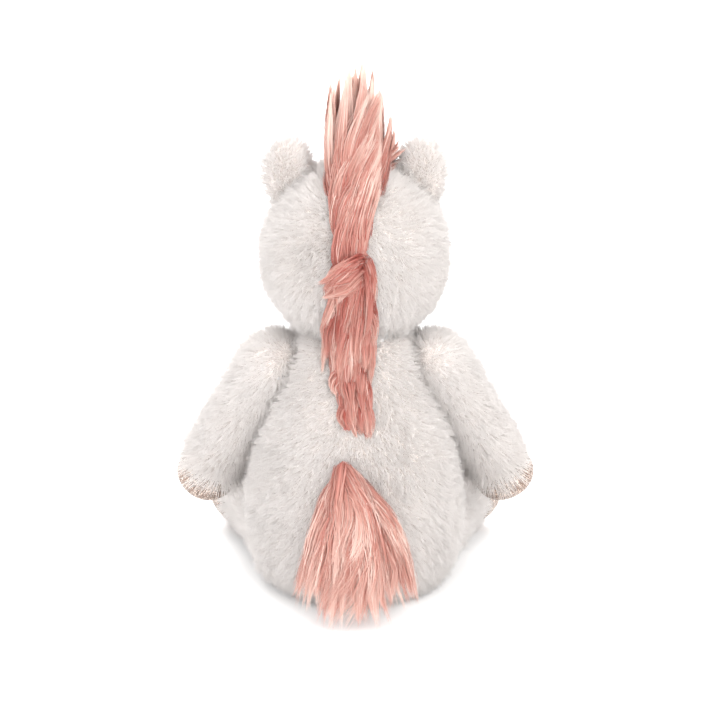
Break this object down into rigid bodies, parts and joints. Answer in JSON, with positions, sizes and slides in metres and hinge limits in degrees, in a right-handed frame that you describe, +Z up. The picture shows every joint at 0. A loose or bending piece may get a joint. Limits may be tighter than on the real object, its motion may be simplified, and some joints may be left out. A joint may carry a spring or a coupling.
{
  "type": "plush unicorn",
  "caption": "Seated stuffed unicorn of white pile cloth with a long pink mane and tail, rounded ears, a glitter horn and glitter hooves; head, ears, limbs and tail bend on their seams.",
  "frame": {"origin": "middle of the flat seat panel, on the plane the toy sits on", "axes": "+Z up out of the head; the face looks along -Y and the tail is at +Y; the toy's own left side is +X"},
  "size_m": [0.1994, 0.1989, 0.278],
  "materials": {
    "pile_cloth": "short, dense, matte plush pile",
    "glitter_cloth": "rose-gold glitter cloth",
    "ear_lining_cloth": "smooth pink satin",
    "stuffing": "loose polyester fibre",
    "pouch_cloth": "plain woven cotton",
    "pellets": "poured plastic pellets",
    "eye_plastic": "polished black",
    "washer_plastic": "plain moulded",
    "face_thread": "satin stitch",
    "winding_thread": "metallic thread",
    "mane_strip_cloth": "knitted backing",
    "mane_pile": "long, silky, blush-tipped pile"
  },
  "bodies": {
    "torso": {"base_panel": "pile_cloth", "belly_panel": "pile_cloth", "back_panel_left": "pile_cloth", "back_panel_right": "pile_cloth", "torso_stuffing": "stuffing", "pellet_pouch": "pouch_cloth", "pellet_fill": "pellets", "nape_strip": "mane_strip_cloth", "nape_mane": "mane_pile"},
    "head": {"head_panel_left": "pile_cloth", "head_panel_right": "pile_cloth", "muzzle_panel": "pile_cloth", "head_stuffing": "stuffing", "eye_left": "eye_plastic", "eye_right": "eye_plastic", "eye_washer_left": "washer_plastic", "eye_washer_right": "washer_plastic", "nostril_stitching": "face_thread", "mouth_stitching": "face_thread", "horn": "glitter_cloth", "horn_stuffing": "stuffing", "horn_winding": "winding_thread", "crest_strip": "mane_strip_cloth", "crest_mane": "mane_pile", "forelock": "mane_pile"},
    "ear_left": {"ear_back_left": "pile_cloth", "ear_lining_left": "ear_lining_cloth"},
    "arm_left": {"arm_sleeve_left": "pile_cloth", "arm_stuffing_left": "stuffing", "arm_hoof_left": "glitter_cloth"},
    "leg_left": {"leg_sleeve_left": "pile_cloth", "leg_stuffing_left": "stuffing", "leg_hoof_left": "glitter_cloth", "leg_sole_left": "glitter_cloth"},
    "ear_right": {"ear_back_right": "pile_cloth", "ear_lining_right": "ear_lining_cloth"},
    "arm_right": {"arm_sleeve_right": "pile_cloth", "arm_stuffing_right": "stuffing", "arm_hoof_right": "glitter_cloth"},
    "leg_right": {"leg_sleeve_right": "pile_cloth", "leg_stuffing_right": "stuffing", "leg_hoof_right": "glitter_cloth", "leg_sole_right": "glitter_cloth"},
    "tail": {"tail_tab": "mane_strip_cloth", "tail_tuft": "mane_pile"}
  },
  "joints": [
    {"name": "head_nod", "type": "hinge", "parent": "torso", "child": "head", "pos_m": [0, 0, 0.15], "axis": [1, 0, 0], "range_deg": [-12, 12], "stiffness_Nm_per_rad": 0.4},
    {"name": "ear_left_fold", "type": "hinge", "parent": "head", "child": "ear_left", "pos_m": [0.0345, 0.001, 0.222], "axis": [0.7413, 0, -0.6712], "range_deg": [-20, 20], "stiffness_Nm_per_rad": 0.004},
    {"name": "arm_left_lift", "type": "hinge", "parent": "torso", "child": "arm_left", "pos_m": [0.0445, 0.006, 0.1265], "axis": [0, -1, 0], "range_deg": [0, 75]},
    {"name": "leg_left_raise", "type": "hinge", "parent": "torso", "child": "leg_left", "pos_m": [0.04, -0.032, 0.0227], "axis": [-0.9397, -0.342, 0], "range_deg": [0, 35]},
    {"name": "ear_right_fold", "type": "hinge", "parent": "head", "child": "ear_right", "pos_m": [-0.0345, 0.001, 0.222], "axis": [0.7413, 0, 0.6712], "range_deg": [-20, 20], "stiffness_Nm_per_rad": 0.004},
    {"name": "arm_right_lift", "type": "hinge", "parent": "torso", "child": "arm_right", "pos_m": [-0.0445, 0.006, 0.1265], "axis": [0, 1, 0], "range_deg": [0, 75]},
    {"name": "leg_right_raise", "type": "hinge", "parent": "torso", "child": "leg_right", "pos_m": [-0.04, -0.032, 0.0227], "axis": [-0.9397, 0.342, 0], "range_deg": [0, 35]},
    {"name": "tail_lift", "type": "hinge", "parent": "torso", "child": "tail", "pos_m": [0.003, 0.0558, 0.082], "axis": [1, 0, 0], "range_deg": [0, 60]}
  ]
}
